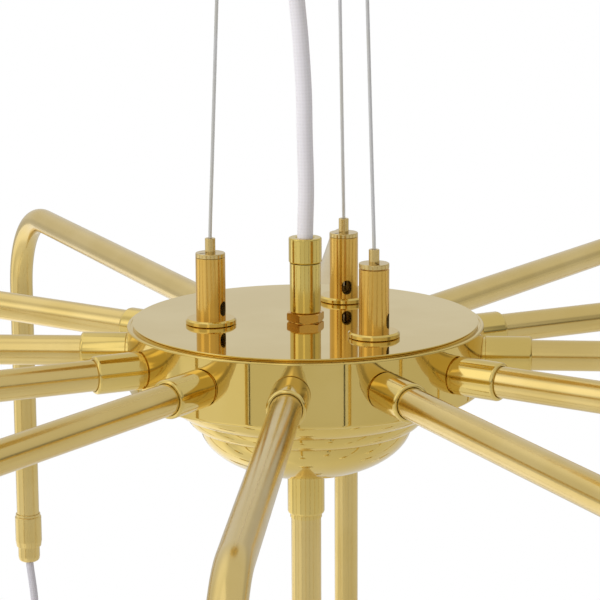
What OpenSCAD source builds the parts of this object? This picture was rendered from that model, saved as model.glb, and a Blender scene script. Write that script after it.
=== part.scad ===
// Multi arm chandelier: a brass hub hung on three steel wires, with twelve
// bent arms and a centre tube that each carry a lamp on a textile cable.
// The origin is the middle of the ceiling face, +Z up, sizes in millimetres.

/* [Suspension] */
// Ceiling to the top plate of the hub
hub_drop = 220; // [190:5:320]
// Steel wire diameter
wire_d = 1.5; // [1:0.1:1.6]
// Power cord diameter, textile covered
power_d = 6.8; // [6:0.1:7]
// How far the wires close in towards the canopy
wire_taper = 0.85; // [0.75:0.01:1]

/* [Canopy] */
// Outer diameter of the canopy
canopy_d = 130; // [120:1:160]
// Height of the canopy
canopy_h = 28; // [26:1:36]

/* [Hub] */
// Outer diameter of the drum
drum_d = 152; // [150:1:160]
// Height of the drum below its lid
drum_h = 27.2; // [27:0.1:30]
// Diameter of the top plate
plate_d = 147.5; // [144:0.5:148]
// Depth of the stepped bowl below the drum
bowl_h = 38; // [34:1:44]

/* [Arms] */
// Diameter of the arm tubes
tube_d = 13; // [12:0.5:13]
// Diameter of the collars round the tubes
collar_d = 16; // [15.5:0.1:16]
// Radius of the bend, to the middle of the tube
bend_r = 45; // [30:1:60]
// Axis to leg on the arms with a short leg
reach_outer = 395; // [380:5:450]
// Axis to leg on the arms with a long leg
reach_inner = 330; // [300:5:350]
// Axis to leg on the arm at the back
reach_back = 300; // [280:5:350]
// Top plate to the tube end of a short leg
leg_outer = 197; // [150:1:260]
// Top plate to the tube end of a long leg
leg_inner = 300; // [260:5:360]
// Top plate to the end of the centre tube
centre_leg = 240; // [150:5:300]

/* [Lamps] */
// Textile cable diameter
cable_d = 4.5; // [4:0.1:4.5]
// Cable between the grip and the lampholder
cable_h = 120; // [100:5:200]
// Diameter of the glass globe
globe_d = 60; // [45:1:80]

/* [Hidden] */
$fn = 64;
brass = [0.80, 0.70, 0.42];
deep_brass = [0.76, 0.60, 0.30];
copper = [0.74, 0.54, 0.28];
steel = [0.60, 0.60, 0.62];
white = [0.90, 0.89, 0.92];
cable_grey = [0.70, 0.69, 0.73];
plastic = [0.93, 0.92, 0.88];
glass = [0.96, 0.95, 0.92];

wall = 1.2;
drum_r = drum_d / 2;
plate_r = plate_d / 2;
tube_r = tube_d / 2;
collar_r = collar_d / 2;
canopy_r = canopy_d / 2;

// Heights measured from the top plate's upper face, which is z = 0 of the hub
plate_t = 1.4;
drum_top = -plate_t;
drum_bottom = drum_top - drum_h;
drum_wall = 1.5;
arm_z = -14.4;
bowl_bottom = drum_bottom - bowl_h;
// Rims of the bowl's two steps and its dome, each [radius, height]
step_1 = [60.8, drum_bottom];
step_2 = [51.6, drum_bottom - 10.7];
dome = [45.6, drum_bottom - 17];

// Arms stand every 30 degrees, each set by hand to within about a degree
arm_count = 12;
arm_first = -4.5;
arm_play = [0, 1, 0, 0.2, -1, 0, 1.5, -0.5, 0.5, 0, -0.5, 0];
back_arm = 3;
function arm_turn(i) = arm_first + 30 * i + arm_play[i];
function is_outer(i) = i % 2 == 0;
function reach(i) = i == back_arm ? reach_back : is_outer(i) ? reach_outer : reach_inner;
function leg(i) = is_outer(i) ? leg_outer : leg_inner;
arm_inner_end = 66;
collar_start = 69.6;
// Outer ends of the collars: the three at the front stand a little further out
collar_end = [for (i = [0 : arm_count - 1]) i >= 8 && i <= 10 ? 98.6 : 96.4];
nut_t = 4;
arm_nut_af = 19;

// Lamp places: twelve legs, then the centre tube
function lamp_xy(i) = i < arm_count ? reach(i) * [cos(arm_turn(i)), sin(arm_turn(i))] : [0, 0];
function lamp_z(i) = i < arm_count ? -leg(i) : -centre_leg;
lamp_count = arm_count + 1;
// Way that each cable bows as it leaves its grip
cable_turn = [0, 120, 200, 300, 0, 60, 240, 150, 30, 330, 90, 210, 180];

// Cable grip at each tube end, measured down from the tube end
grip_h = 19;
grip_r = 7.7;
grip_socket = 10;
grip_seat = 13;
cap_h = 9.3;
cap_r = 6.3;
cable_top = -grip_seat;
cable_end = -(grip_h + cap_h + cable_h);
bore_gap = 0.1;
fit_gap = 0.05;

// Lampholder, measured down from the end of the cable's free stretch
holder_seat = 8;
holder_r = 17;
holder_h = 46;
holder_neck_r = 7;
holder_wall = 1;
base_r = 13;
globe_r = globe_d / 2;
globe_gap = 6;

// Wire grippers, measured up from the top plate
gripper_place = [[-40, -7], [17, 39], [28.3, -33.5]];
slot_turns = [-29, -78, -17];
flange_r = 10.75;
flange_t = 2.5;
gripper_r = 6.3;
gripper_h = 28.6;
gripper_cap_t = 1.9;
plunger_r = 2.2;
plunger_top = 36.7;
plunger_low = 20;
plunger_foot_r = 2.8;
chamber_r = 3.2;
chamber_low = 10.8;
neck_r = 4.4;
neck_low = 21.9;
stud_r = 4;
stud_low = -9;
slot_w = 4.4;
slot_h = 6.4;
slot_z = 6.85;
wire_low = 6.5;

// Centre cord grip, measured up from the top plate; it stands a little forward
gland_y = -3;
grip_nut_af = 14;
grip_nut_t = 3.9;
gland_r = 6.6;
gland_top = 25.3;
gland_cap_r = 7;
gland_cap_top = 36.2;
gland_stud_r = 5;
gland_neck_r = 5.6;
gland_neck_h = 7;
cord_bore_r = power_d / 2 + bore_gap;

// Power cord route from the hub's terminal block to the canopy's, from the
// top plate's middle: up through the gland, a soft S, up through the canopy
cord_route = [[0, gland_y, -12], [0, gland_y, 36], [0.5, -3, 57], [0, -2.8, 80], [-0.3, -2.4, 98],
              [-1.6, -1.8, 120], [-3.2, -1.1, 138], [-3.8, -0.6, 152], [-1.8, -0.2, 168], [0, 0, 181],
              [0, 0, 206]];

// Cable route below the tube end, bowed along its own x
cable_route = [[0, 0, cable_top], [0, 0, -28], [2.4, 0, -53], [3, 0, -85], [0, 0, cable_end + 2],
               [0, 0, cable_end - holder_seat]];

// Ring of points round p, square to direction t
function ring(p, t, r, sides) =
    let (u = cross(t, [0, 1, 0]), x = u / norm(u), y = cross(t, x) / norm(t))
    [for (k = [0 : sides - 1]) let (a = 360 * k / sides) p + r * (cos(a) * x + sin(a) * y)];

// Round bar swept along a route, closed at both ends
module swept(route, r, sides) {
    n = len(route);
    rings = [for (i = [0 : n - 1])
        ring(route[i], route[min(i + 1, n - 1)] - route[max(i - 1, 0)], r, sides)];
    points = [for (one = rings) each one];
    skin = [for (i = [0 : n - 2], k = [0 : sides - 1])
        let (a = i * sides + k, b = i * sides + (k + 1) % sides)
        [a, b, b + sides, a + sides]];
    start = [for (k = [sides - 1 : -1 : 0]) k];
    end = [for (k = [0 : sides - 1]) (n - 1) * sides + k];
    polyhedron(points, concat([start], skin, [end]), convexity = 4);
}

module tube(r, inner_r, z0, z1) {
    translate([0, 0, z0]) difference() {
        cylinder(r = r, h = z1 - z0);
        translate([0, 0, -1]) cylinder(r = inner_r, h = z1 - z0 + 2);
    }
}

module hex_nut(af, inner_r, t) {
    difference() {
        cylinder(r = af / sqrt(3), h = t, $fn = 6);
        translate([0, 0, -1]) cylinder(r = inner_r, h = t + 2);
    }
}

// Places
module at_hub() { translate([0, 0, -hub_drop]) children(); }
module at_gland() { at_hub() translate([0, gland_y, 0]) children(); }
module at_gripper(i) { at_hub() translate(gripper_place[i]) children(); }
module at_grippers() { for (i = [0 : 2]) at_gripper(i) children(); }
module at_anchors() { for (place = gripper_place) translate(wire_taper * place) children(); }
module at_lamp(i) { at_hub() translate([lamp_xy(i).x, lamp_xy(i).y, lamp_z(i)]) children(); }
module at_lamps() { for (i = [0 : lamp_count - 1]) at_lamp(i) children(); }
// Lays a child's +Z along an arm, from the hub's axis
module along_arm(i) {
    at_hub() translate([0, 0, arm_z]) rotate([0, 0, arm_turn(i)]) rotate([0, 90, 0]) children();
}

// Canopy
bracket_w = 24;
bracket_t = 2.5;
bracket_l = canopy_d - 12;
screw_pitch = 70;
screw_hole_r = 2.5;
tab_h = 14;
side_screw_z = -9;
side_screw_r = 2;
cup_floor = -canopy_h;
cord_hole_r = 5;
anchor_stud_r = 3;

module canopy_bracket() {
    color(steel) difference() {
        union() {
            translate([-bracket_l / 2, -bracket_w / 2, -bracket_t]) cube([bracket_l, bracket_w, bracket_t]);
            for (s = [0, 180]) rotate([0, 0, s])
                translate([bracket_l / 2 - bracket_t, -bracket_w / 2, -tab_h])
                    cube([bracket_t, bracket_w, tab_h]);
        }
        for (s = [-1, 1]) {
            translate([s * screw_pitch / 2, 0, -10]) cylinder(r = screw_hole_r, h = 20);
            translate([s * bracket_l / 2 - 5, 0, side_screw_z]) rotate([0, 90, 0])
                cylinder(r = side_screw_r + bore_gap, h = 10);
        }
        translate([0, 0, -10]) cylinder(r = 8, h = 20);
    }
}

module canopy_cup() {
    color(brass) difference() {
        rotate_extrude() polygon(concat(
            [[0, cup_floor], [canopy_r - 3, cup_floor]],
            [for (a = [-75 : 15 : 0]) [canopy_r - 3 + 3 * cos(a), cup_floor + 3 + 3 * sin(a)]],
            [[canopy_r, -0.3], [canopy_r - wall, -0.3], [canopy_r - wall, cup_floor + wall],
             [0, cup_floor + wall]]));
        translate([0, 0, cup_floor - 1]) cylinder(r = cord_hole_r + fit_gap, h = 5);
        at_anchors() translate([0, 0, cup_floor - 1]) cylinder(r = anchor_stud_r + fit_gap, h = 5);
        for (s = [-1, 1]) translate([s * canopy_r - 5, 0, side_screw_z]) rotate([0, 90, 0])
            cylinder(r = side_screw_r + bore_gap, h = 10);
    }
}

// Two side screws, and three wire anchors with their nuts in the canopy floor
anchor_r = 4.5;
anchor_h = 12;
module canopy_fixings() {
    color(brass) {
        for (s = [0, 180]) rotate([0, 0, s]) translate([bracket_l / 2 - bracket_t - 1, 0, side_screw_z])
            rotate([0, 90, 0]) {
                cylinder(r = side_screw_r, h = canopy_r - bracket_l / 2 + bracket_t + 1);
                translate([0, 0, canopy_r - bracket_l / 2 + bracket_t + 1]) cylinder(r = 4, h = 3);
            }
        at_anchors() translate([0, 0, cup_floor]) {
            difference() {
                union() {
                    translate([0, 0, -anchor_h]) cylinder(r = anchor_r, h = anchor_h);
                    cylinder(r = anchor_stud_r, h = 8);
                }
                translate([0, 0, -anchor_h - 1]) cylinder(r = wire_d / 2 + 0.5, h = anchor_h - 3);
            }
            translate([0, 0, wall]) hex_nut(10, anchor_stud_r + fit_gap, 4);
        }
    }
}

canopy_gland_h = 10;
module canopy_gland() {
    color(brass) translate([0, 0, cup_floor]) {
        difference() {
            union() {
                translate([0, 0, -canopy_gland_h]) cylinder(r = 7, h = canopy_gland_h);
                cylinder(r = cord_hole_r, h = 8);
            }
            translate([0, 0, -20]) cylinder(r = cord_bore_r, h = 40);
        }
        translate([0, 0, wall]) hex_nut(14, cord_hole_r + fit_gap, 4);
    }
}

// Terminal blocks that the power cord ends on, in the hub and in the canopy
block = [22, 12, 9];
module terminal_blocks() {
    color(plastic) {
        at_hub() translate([-block.x / 2, -block.y / 2, -12 - block.z]) cube(block);
        translate([-block.x / 2, -block.y / 2, -14]) cube(block - [0, 0, 2]);
    }
}

// Wires: plumb inside the gripper, then straight to the anchor
module wire(i) {
    foot = [0, 0, wire_low];
    bend = [0, 0, plunger_top + 0.8];
    lean = (wire_taper - 1) * gripper_place[i];
    top = [lean.x, lean.y, hub_drop + cup_floor - 4];
    color(steel) at_gripper(i) swept([foot, bend, top], wire_d / 2, 8);
}

module power_cord() { color(white) at_hub() swept(cord_route, power_d / 2, 12); }

// Wire grippers
module gripper_flanges() {
    bore_r = stud_r + fit_gap;
    color(deep_brass) at_grippers() rotate_extrude() polygon([
        [bore_r, 0], [flange_r - 0.4, 0], [flange_r, 0.4], [flange_r, flange_t - 0.7],
        [flange_r - 0.7, flange_t], [bore_r, flange_t]]);
}

module slot_cut() {
    rise = slot_h / 2 - slot_w / 2;
    translate([0, 0, slot_z]) {
        for (s = [-1, 1]) translate([0, 0, s * rise]) rotate([0, 90, 0]) cylinder(r = slot_w / 2, h = 10);
        translate([0, -slot_w / 2, -rise]) cube([10, slot_w, 2 * rise]);
    }
}

module gripper_bodies() {
    color(deep_brass) for (i = [0 : 2]) at_gripper(i) difference() {
        union() {
            translate([0, 0, flange_t]) cylinder(r = gripper_r, h = gripper_h - flange_t);
            translate([0, 0, stud_low]) cylinder(r = stud_r, h = flange_t - stud_low);
        }
        translate([0, 0, chamber_low]) cylinder(r = chamber_r, h = 40);
        translate([0, 0, neck_low]) cylinder(r = neck_r + fit_gap, h = 40);
        translate([0, 0, 4]) cylinder(r = wire_d / 2 + 0.5, h = 40);
        rotate([0, 0, slot_turns[i]]) slot_cut();
    }
}

// Cap with the threaded neck and the cone that the balls wedge in
module gripper_caps() {
    bore_r = plunger_r + 0.05;
    color(deep_brass) at_grippers() rotate_extrude() polygon([
        [bore_r, 27], [bore_r, gripper_h + gripper_cap_t], [gripper_r - 0.4, gripper_h + gripper_cap_t],
        [gripper_r, gripper_h + gripper_cap_t - 0.4], [gripper_r, gripper_h], [neck_r, gripper_h],
        [neck_r, neck_low], [3.1, neck_low]]);
}

// Plunger with its cage, and the three balls that hold the wire
ball_r = 0.78;
ball_z = 24;
module plunger(i) {
    ball_x = wire_d / 2 + ball_r + 0.05;
    color(brass) at_gripper(i) {
        difference() {
            union() {
                translate([0, 0, plunger_low]) cylinder(r = plunger_r, h = plunger_top - plunger_low);
                translate([0, 0, plunger_low]) cylinder(r = plunger_foot_r, h = 1);
            }
            translate([0, 0, plunger_low - 1]) cylinder(r = wire_d / 2 + 0.3, h = 30);
            for (a = [0, 120, 240]) rotate([0, 0, a]) translate([0, 0, ball_z]) rotate([0, 90, 0])
                cylinder(r = ball_r + 0.03, h = 5);
        }
        for (a = [0, 120, 240]) rotate([0, 0, a]) translate([ball_x, 0, ball_z])
            sphere(r = ball_r, $fn = 24);
    }
}

// Spring under the plunger
spring_r = 2.3;
spring_wire_r = 0.3;
spring_turns = 5;
module spring(i) {
    low = chamber_low + spring_wire_r + 0.02;
    high = plunger_low - spring_wire_r - 0.02;
    steps = spring_turns * 14;
    route = [for (k = [0 : steps]) [spring_r * cos(360 * k / 14), spring_r * sin(360 * k / 14),
        low + (high - low) * k / steps]];
    rings = [for (k = [0 : steps]) let (a = 360 * k / 14) [for (s = [0 : 5])
        route[k] + spring_wire_r * [cos(a) * cos(60 * s), sin(a) * cos(60 * s), sin(60 * s)]]];
    color(steel) at_gripper(i) polyhedron([for (one = rings) each one], concat(
        [[for (s = [0 : 5]) s]],
        [for (k = [0 : steps - 1], s = [0 : 5])
            let (a = 6 * k + s, b = 6 * k + (s + 1) % 6) [a, a + 6, b + 6, b]],
        [[for (s = [5 : -1 : 0]) 6 * steps + s]]), convexity = 10);
}

// Centre cord grip
module gland_nut() {
    color(copper) at_gland() rotate([0, 0, 12]) hex_nut(grip_nut_af, gland_stud_r + fit_gap, grip_nut_t);
}

module gland_body() {
    color(brass) at_gland() difference() {
        union() {
            translate([0, 0, grip_nut_t]) cylinder(r = gland_r, h = gland_top - grip_nut_t);
            translate([0, 0, -8]) cylinder(r = gland_stud_r, h = grip_nut_t + 8);
            translate([0, 0, gland_top]) cylinder(r = gland_neck_r, h = gland_neck_h);
        }
        translate([0, 0, -20]) cylinder(r = cord_bore_r, h = 60);
    }
}

module gland_cap() {
    thread_r = gland_neck_r + fit_gap;
    thread_top = gland_top + gland_neck_h;
    color(brass) at_gland() rotate_extrude() polygon([
        [cord_bore_r, thread_top], [cord_bore_r, gland_cap_top], [gland_cap_r - 1, gland_cap_top],
        [gland_cap_r, gland_cap_top - 1], [gland_cap_r, gland_top + 0.6], [gland_cap_r - 0.6, gland_top],
        [thread_r, gland_top], [thread_r, thread_top]]);
}

// Hub
module top_plate() {
    color(brass) at_hub() difference() {
        rotate_extrude() polygon([[0, -plate_t], [plate_r - 0.3, -plate_t], [plate_r, 0], [0, 0]]);
        translate([0, gland_y, -10]) cylinder(r = gland_stud_r + fit_gap, h = 20);
        for (place = gripper_place) translate([place.x, place.y, -10])
            cylinder(r = stud_r + fit_gap, h = 20);
        at_tie_rods() translate([0, 0, -10]) cylinder(r = tie_rod_r + fit_gap, h = 9);
    }
}

// Three rods that hang the drum and the bowl from the top plate
tie_rod_r = 2.5;
tie_rod_place = 52;
tie_nut_af = 8;
tie_nut_t = 4;
module at_tie_rods() {
    for (a = [10, 130, 250]) rotate([0, 0, a]) translate([tie_rod_place, 0, 0]) children();
}
module tie_rods() {
    nut_z = drum_bottom - bowl_flange_t - tie_nut_t;
    color(steel) at_hub() at_tie_rods() {
        translate([0, 0, nut_z - 1]) cylinder(r = tie_rod_r, h = -nut_z);
        translate([0, 0, nut_z]) rotate([0, 0, 30])
            cylinder(r = tie_nut_af / sqrt(3), h = tie_nut_t, $fn = 6);
    }
}

// Drum: a lip that the plate rests on, and rounded edges
module drum() {
    lip = 62;
    low_lip = 46;
    lip_z = drum_top - drum_wall;
    color(brass) difference() {
        at_hub() rotate_extrude() polygon([
            [lip, drum_top], [drum_r - 0.9, drum_top], [drum_r - 0.26, drum_top - 0.26],
            [drum_r, drum_top - 0.9], [drum_r, drum_bottom + 1.4], [drum_r - 0.4, drum_bottom + 0.4],
            [drum_r - 1.4, drum_bottom], [low_lip, drum_bottom], [low_lip, drum_bottom + drum_wall],
            [drum_r - drum_wall, drum_bottom + drum_wall], [drum_r - drum_wall, lip_z], [lip, lip_z]]);
        for (i = [0 : arm_count - 1]) along_arm(i) translate([0, 0, 64])
            cylinder(r = collar_r + fit_gap, h = 20);
        at_hub() at_tie_rods() translate([0, 0, drum_bottom - 1]) cylinder(r = tie_rod_r + fit_gap, h = 5);
    }
}

// Bowl: two rounded steps and a dome, with a hole for the centre collar
bowl_bore_r = collar_r + fit_gap;
bowl_flange_t = 2;
bowl_foot = [bowl_bore_r, bowl_bottom];
// Inner sides of the rims, and the underside of the flange
step_1_in = [step_1.x - wall, drum_bottom - bowl_flange_t];
step_2_in = [step_2.x - wall, step_2.y];
dome_in = [dome.x - wall, dome.y];
wall_up = [0, wall];
// Point at angle a of the quarter round from a rim to a lower one
function quarter(high, low, a) = [low.x + (high.x - low.x) * pow(cos(a), 1.08),
                                  high.y - (high.y - low.y) * pow(sin(a), 1.08)];
module bowl() {
    color(brass) at_hub() difference() {
        bowl_shell();
        at_tie_rods() translate([0, 0, drum_bottom - 3]) cylinder(r = tie_rod_r + fit_gap, h = 5);
    }
}

module bowl_shell() {
    rotate_extrude() polygon(concat(
        [[bowl_bore_r, drum_bottom - bowl_flange_t], [bowl_bore_r, drum_bottom]],
        [for (a = [0 : 15 : 75]) quarter(step_1, step_2, a)],
        [for (a = [0 : 15 : 75]) quarter(step_2, dome, a)],
        [for (a = [0 : 10 : 90]) quarter(dome, bowl_foot, a)],
        [for (a = [90 : -15 : 0]) quarter(dome_in, bowl_foot + wall_up, a)],
        [for (a = [90 : -15 : 0]) quarter(step_2_in, dome_in + wall_up, a)],
        [for (a = [90 : -15 : 0]) quarter(step_1_in, step_2_in + wall_up, a)]));
}

// Nuts inside the hub: twelve arms, three grippers, cord grip
module lock_nuts() {
    color(steel) {
        for (i = [0 : arm_count - 1]) along_arm(i) translate([0, 0, collar_start]) rotate([0, 0, 30])
            hex_nut(arm_nut_af, collar_r + fit_gap, nut_t);
        at_grippers() translate([0, 0, -plate_t - nut_t]) hex_nut(13, stud_r + fit_gap, nut_t);
        at_gland() translate([0, 0, -plate_t - nut_t]) hex_nut(14, gland_stud_r + fit_gap, nut_t);
    }
}

// Collar round a tube: a sleeve with a groove where it leaves the hub and a
// rounded end
groove_l = 0.9;
groove_depth = 0.7;
collar_bore_r = tube_r + fit_gap;
module collar(z0, z1, groove_start) {
    groove_bed = collar_r - groove_depth;
    rotate_extrude() polygon([
        [collar_bore_r, z0], [collar_r, z0], [collar_r, groove_start], [groove_bed, groove_start],
        [groove_bed, groove_start + groove_l], [collar_r - 0.2, groove_start + groove_l],
        [collar_r, groove_start + groove_l + 0.2], [collar_r, z1 - 1.4], [collar_r - 0.13, z1 - 0.7],
        [collar_r - 0.5, z1 - 0.19], [collar_r - 1, z1], [collar_bore_r, z1]]);
}

// The centre tube's collar has a short neck below its sleeve
centre_collar_end = 19.3;
centre_neck_end = 21;
module tube_collars() {
    color(brass) {
        for (i = [0 : arm_count - 1]) along_arm(i) collar(collar_start, collar_end[i], drum_r - 0.2);
        at_hub() translate([0, 0, bowl_bottom]) {
            mirror([0, 0, 1]) collar(-40, centre_collar_end, -0.5);
            tube(collar_r - 1.1, collar_bore_r, -centre_neck_end, -centre_collar_end + 1);
        }
    }
}

tube_wall = 1;
module centre_tube() {
    color(brass) at_hub() tube(tube_r, tube_r - tube_wall, -centre_leg, bowl_bottom + 36);
}

// One arm: straight out, a quarter bend, straight down
module arm_bar(i, r, over) {
    out = reach(i) - bend_r;
    at_hub() rotate([0, 0, arm_turn(i)]) {
        translate([arm_inner_end - over, 0, arm_z]) rotate([0, 90, 0])
            cylinder(r = r, h = out - arm_inner_end + over);
        translate([out, 0, arm_z - bend_r]) rotate([90, 0, 0]) rotate_extrude(angle = 90)
            translate([bend_r, 0]) circle(r = r);
        translate([reach(i), 0, -leg(i) - over]) cylinder(r = r, h = leg(i) + arm_z - bend_r + over);
    }
}

module arm(i) {
    color(brass) difference() {
        arm_bar(i, tube_r, 0);
        arm_bar(i, tube_r - tube_wall, 1);
    }
}

// Cable grips at the tube ends: a socket for the tube over a cable seat
module cable_grips() {
    color(brass) at_lamps() difference() {
        union() {
            translate([0, 0, -grip_h]) cylinder(r = grip_r, h = grip_h);
            translate([0, 0, grip_socket - 12]) cylinder(r = grip_r - 0.5, h = 3);
        }
        translate([0, 0, -grip_socket]) cylinder(r = tube_r + fit_gap, h = 30);
        translate([0, 0, -grip_h - 1]) cylinder(r = cable_d / 2 + bore_gap, h = grip_h + 1 - grip_seat);
    }
}

module grip_caps() {
    low = -grip_h - cap_h;
    bore_r = cable_d / 2 + bore_gap;
    color(brass) at_lamps() rotate_extrude() polygon([
        [bore_r, -grip_h], [cap_r, -grip_h], [cap_r, low + 3], [cap_r - 0.5, low + 1.4],
        [cap_r - 1.5, low + 0.4], [cap_r - 2.8, low], [bore_r, low]]);
}

module cable(i) {
    color(cable_grey) at_lamp(i) rotate([0, 0, cable_turn[i]]) swept(cable_route, cable_d / 2, 8);
}

// Lampholders: neck, shoulder and a straight skirt round the lamp's base
module lampholders() {
    bore_r = cable_d / 2 + bore_gap;
    color(brass) at_lamps() translate([0, 0, cable_end]) rotate_extrude() polygon([
        [bore_r, 0], [holder_neck_r - 0.6, 0], [holder_neck_r, -0.6], [holder_neck_r, -10],
        [holder_r - 2, -13], [holder_r, -15], [holder_r, -holder_h],
        [holder_r - holder_wall, -holder_h], [holder_r - holder_wall, -16], [0, -14], [0, -holder_seat],
        [bore_r, -holder_seat]]);
}

module lamp_sockets() {
    color(plastic) at_lamps() translate([0, 0, cable_end - 42]) difference() {
        cylinder(r = holder_r - holder_wall - fit_gap, h = 25);
        translate([0, 0, -1]) cylinder(r = base_r + 0.3, h = 21);
    }
}

// Globe lamps: screw base, flared neck, round glass
module bulbs() {
    base_top = -24;
    neck_top = -holder_h - 1;
    centre = -holder_h - globe_gap - globe_r;
    color(glass) at_lamps() translate([0, 0, cable_end]) rotate_extrude() polygon(concat(
        [[0, base_top], [base_r, base_top], [base_r, neck_top],
         [globe_r * sin(30), centre + globe_r * cos(30)]],
        [for (a = [37.5 : 7.5 : 172.5]) [globe_r * sin(a), centre + globe_r * cos(a)]],
        [[0, centre - globe_r]]));
}

canopy_bracket();
canopy_cup();
canopy_fixings();
canopy_gland();
terminal_blocks();
for (i = [0 : 2]) wire(i);
power_cord();
gripper_flanges();
gripper_bodies();
gripper_caps();
for (i = [0 : 2]) plunger(i);
for (i = [0 : 2]) spring(i);
gland_nut();
gland_body();
gland_cap();
top_plate();
drum();
bowl();
tie_rods();
lock_nuts();
tube_collars();
centre_tube();
for (i = [0 : arm_count - 1]) arm(i);
cable_grips();
grip_caps();
for (i = [0 : lamp_count - 1]) cable(i);
lampholders();
lamp_sockets();
bulbs();
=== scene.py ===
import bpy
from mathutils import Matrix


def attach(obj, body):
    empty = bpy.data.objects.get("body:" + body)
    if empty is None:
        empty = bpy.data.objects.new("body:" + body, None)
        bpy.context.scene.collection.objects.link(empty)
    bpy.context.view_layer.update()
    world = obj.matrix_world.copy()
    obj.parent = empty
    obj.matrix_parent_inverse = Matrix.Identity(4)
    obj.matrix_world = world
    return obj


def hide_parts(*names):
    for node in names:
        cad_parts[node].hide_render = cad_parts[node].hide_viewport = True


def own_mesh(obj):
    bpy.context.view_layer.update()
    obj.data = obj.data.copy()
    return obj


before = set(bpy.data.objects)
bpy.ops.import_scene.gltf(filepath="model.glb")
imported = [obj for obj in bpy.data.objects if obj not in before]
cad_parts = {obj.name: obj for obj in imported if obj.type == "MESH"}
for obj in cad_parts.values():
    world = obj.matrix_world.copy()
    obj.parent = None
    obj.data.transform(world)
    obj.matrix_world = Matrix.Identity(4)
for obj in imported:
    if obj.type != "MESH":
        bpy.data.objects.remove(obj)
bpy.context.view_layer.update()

import math

import bmesh
import bpy
from mathutils import Matrix, Vector

MM = 0.001
TAU = 2 * math.pi

# ---------------------------------------------------------------- sizes, as in the CAD source, in mm
HUB_Z = -220
DRUM_R = 76
PLATE_R = 73.75
PLATE_T = 1.4
DRUM_BOTTOM = -28.6
BOWL_BOTTOM = -66.6
ARM_Z = -14.4
BEND_R = 45
TUBE_R = 6.5
COLLAR_R = 8
# How far each arm is turned from its even place, in degrees
ARM_PLAY = [0, 1, 0, 0.2, -1, 0, 1.5, -0.5, 0.5, 0, -0.5, 0]
ARM_TURNS = [math.radians(-4.5 + 30 * i + play) for i, play in enumerate(ARM_PLAY)]
REACHES = [395, 330, 395, 300] + [395, 330] * 4
LEGS = [197 if i % 2 == 0 else 300 for i in range(12)]
CENTRE_LEG = 240
LAMP_PLACES = [(r * math.cos(a), r * math.sin(a), HUB_Z - leg) for r, a, leg in zip(REACHES, ARM_TURNS, LEGS)]
LAMP_PLACES.append((0, 0, HUB_Z - CENTRE_LEG))
# Which way each lamp cable bows, in degrees
CABLE_TURNS = [0, 120, 200, 300, 0, 60, 240, 150, 30, 330, 90, 210, 180]
CABLE_D = 4.5
CABLE_END = -148.3
GRIPPERS = [(-40, -7), (17, 39), (28.3, -33.5)]
SLOT_TURNS = [-29, -78, -17]
GRIPPER_R = 6.3
GRIPPER_TOP = 28.6
FLANGE_R = 10.75
FLANGE_T = 2.5
CHAMBER_LOW = 10.8
SLOT_Z = 6.85
SLOT_HALF = 2.2
PLUNGER_LOW = 20
PLUNGER_TOP = 36.7
GLAND_Y = -3
GLAND_NUT_AF = 14
GLAND_NUT_T = 3.9
GLAND_R = 6.6
GLAND_TOP = 25.3
GLAND_CAP_R = 7
GLAND_CAP_TOP = 36.2
WIRE_D = 1.5
WIRE_TAPER = 0.85
POWER_D = 6.8
CANOPY_R = 65
CANOPY_H = 28


# ---------------------------------------------------------------- camera
def make_camera():
    pitch, yaw, roll = 0.21058, -0.00225, -0.0045
    forward = Vector((math.sin(yaw) * math.cos(pitch), math.cos(yaw) * math.cos(pitch), -math.sin(pitch)))
    right = forward.cross(Vector((0, 0, 1))).normalized()
    up = right.cross(forward)
    c, s = math.cos(roll), math.sin(roll)
    right, up = c * right + s * up, -s * right + c * up
    turn = Matrix((right, up, -forward)).transposed()
    data = bpy.data.cameras.new("camera")
    data.lens, data.sensor_width = 145.53, 36
    data.clip_start, data.clip_end = 0.05, 60
    cam = bpy.data.objects.new("camera", data)
    cam.matrix_world = Matrix.Translation((0, -1.01092, 0.00445)) @ turn.to_4x4()
    bpy.context.scene.collection.objects.link(cam)
    bpy.context.scene.camera = cam


# ---------------------------------------------------------------- node helpers
def node(tree, kind, inputs=None, **settings):
    """Adds a shader node. An input is a number, a colour, or another node's output to link."""
    made = tree.nodes.new("ShaderNode" + kind)
    for key, value in settings.items():
        setattr(made, key, value)
    for key, value in (inputs or {}).items():
        if isinstance(value, bpy.types.NodeSocket):
            tree.links.new(value, made.inputs[key])
        else:
            made.inputs[key].default_value = value
    return made


def maths(tree, operation, *values):
    return node(tree, "Math", dict(enumerate(values)), operation=operation).outputs[0]


def blend_value(tree, share, low, high):
    """low where share is 0 and high where it is 1."""
    made = node(tree, "MapRange", {"Value": share, "To Min": low, "To Max": high})
    return made.outputs["Result"]


def ramp(tree, value, low, high, to_low=0.0, to_high=1.0):
    """A soft step from to_low to to_high as value goes from low to high."""
    made = node(tree, "MapRange", {"Value": value, "From Min": low, "From Max": high, "To Min": to_low,
                                   "To Max": to_high}, interpolation_type="SMOOTHSTEP")
    return made.outputs["Result"]


def new_material(name):
    mat = bpy.data.materials.new(name)
    mat.use_nodes = True
    return mat, mat.node_tree, mat.node_tree.nodes["Principled BSDF"]


def noise(tree, place, scale, detail=2.0):
    return node(tree, "TexNoise", {"Vector": place, "Scale": scale, "Detail": detail}).outputs["Fac"]


def tint(tree, share, low, high):
    """A colour between low and high."""
    made = node(tree, "Mix", {"Factor": share, "A": (*low, 1), "B": (*high, 1)}, data_type="RGBA")
    return made.outputs["Result"]


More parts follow.
